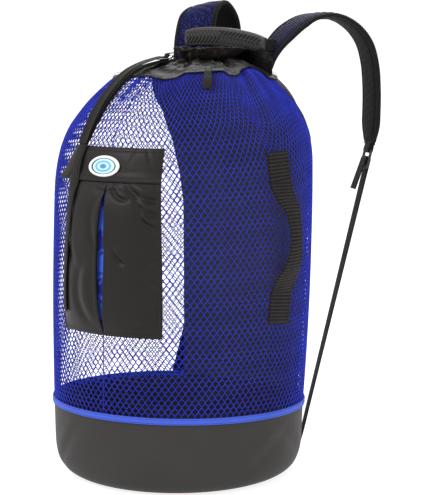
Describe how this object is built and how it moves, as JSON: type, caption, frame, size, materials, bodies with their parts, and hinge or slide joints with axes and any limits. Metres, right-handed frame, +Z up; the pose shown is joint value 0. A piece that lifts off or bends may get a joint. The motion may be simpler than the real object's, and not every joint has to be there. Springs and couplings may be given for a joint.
{
  "type": "mesh gear backpack",
  "caption": "Drawstring mesh backpack for dive gear with a solid boot, a zipped front pocket, a side handle, a moulded top grip and two padded shoulder straps.",
  "frame": {"origin": "middle of the boot's flat underside, on the floor", "axes": "+Z up, the pocket faces -Y, the back panel and the shoulder straps face +Y, the side handle is at +X"},
  "size_m": [0.4687, 0.5112, 0.7822],
  "materials": {
    "boot": "coated woven cloth, faint sheen",
    "tape": "woven binding tape, matte",
    "net": "knitted polyester net",
    "panel": "padded woven cloth, matte",
    "nylon": "plain woven nylon, creased",
    "lining": "plain woven nylon",
    "badge": "moulded soft rubber",
    "webbing": "ribbed webbing",
    "grip": "moulded rubber with raised bars",
    "strap": "spacer mesh with bound edges",
    "buckle": "moulded, satin",
    "ring": "bright plated wire"
  },
  "bodies": {
    "root": {"base_boot": "boot", "seam_tape": "tape", "net_body": "net", "back_panel": "panel", "collar": "nylon", "pull_tab": "nylon", "pocket_lining": "lining", "front_pocket": "nylon", "pocket_flap": "nylon", "oval_badge": "badge", "side_handle": "webbing", "grip_handle": "grip", "shoulder_strap_right": "strap", "buckle_right": "buckle", "strap_end_right": "webbing", "tether_right": "webbing", "grip_web_right": "webbing", "shoulder_strap_left": "strap", "buckle_left": "buckle", "strap_end_left": "webbing", "tether_left": "webbing", "grip_web_left": "webbing", "closure_strap": "webbing", "neck_ring": "ring", "ring_loop": "webbing"}
  },
  "joints": []
}
